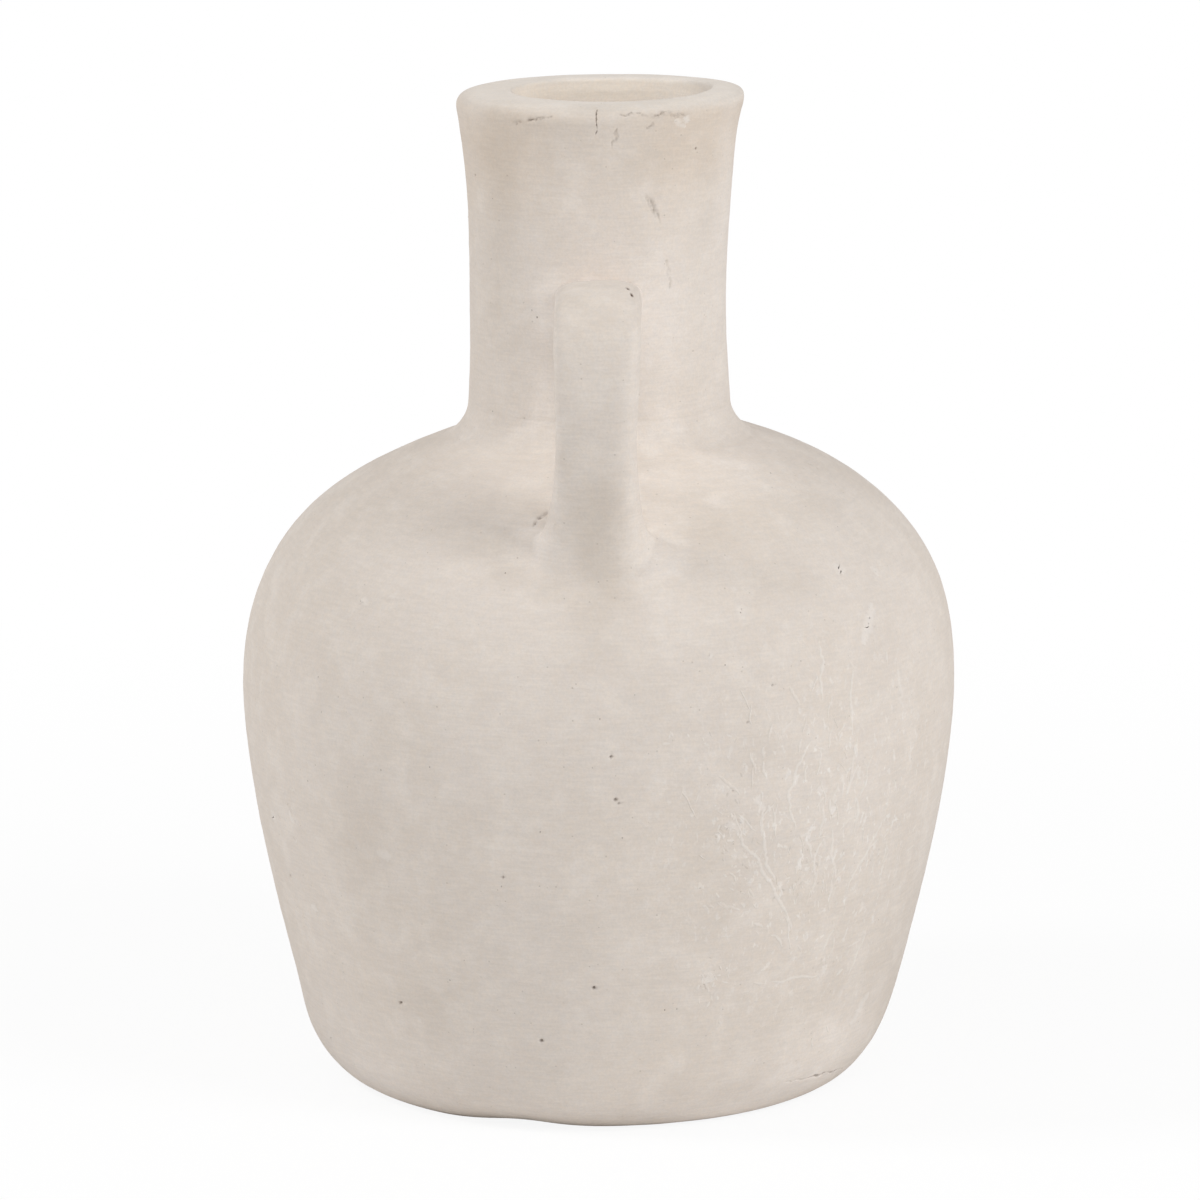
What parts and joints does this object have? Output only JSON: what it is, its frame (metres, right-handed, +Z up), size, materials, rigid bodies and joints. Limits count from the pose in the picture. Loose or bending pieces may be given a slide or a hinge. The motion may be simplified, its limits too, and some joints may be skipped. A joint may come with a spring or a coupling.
{
  "type": "vase",
  "caption": "Rustic cream clay jug vase with a rounded belly, a narrow flat foot, a flaring neck with a thick rounded lip and a strap handle from neck to shoulder",
  "frame": {"origin": "centre of the flat foot, on the surface that the vase stands on", "axes": "+Z up along the vase's turning axis, the handle faces -Y, +X to the right when the handle faces the viewer"},
  "size_m": [0.23, 0.23, 0.32],
  "materials": {
    "cream_clay": "matt, unglazed, brushed with a pale clay coat"
  },
  "bodies": {
    "root": {"base_disc": "cream_clay", "body_wall": "cream_clay", "neck": "cream_clay", "rim_coil": "cream_clay", "neck_seam_coil": "cream_clay", "handle_strap": "cream_clay", "upper_handle_coil": "cream_clay", "lower_handle_coil": "cream_clay"}
  },
  "joints": []
}
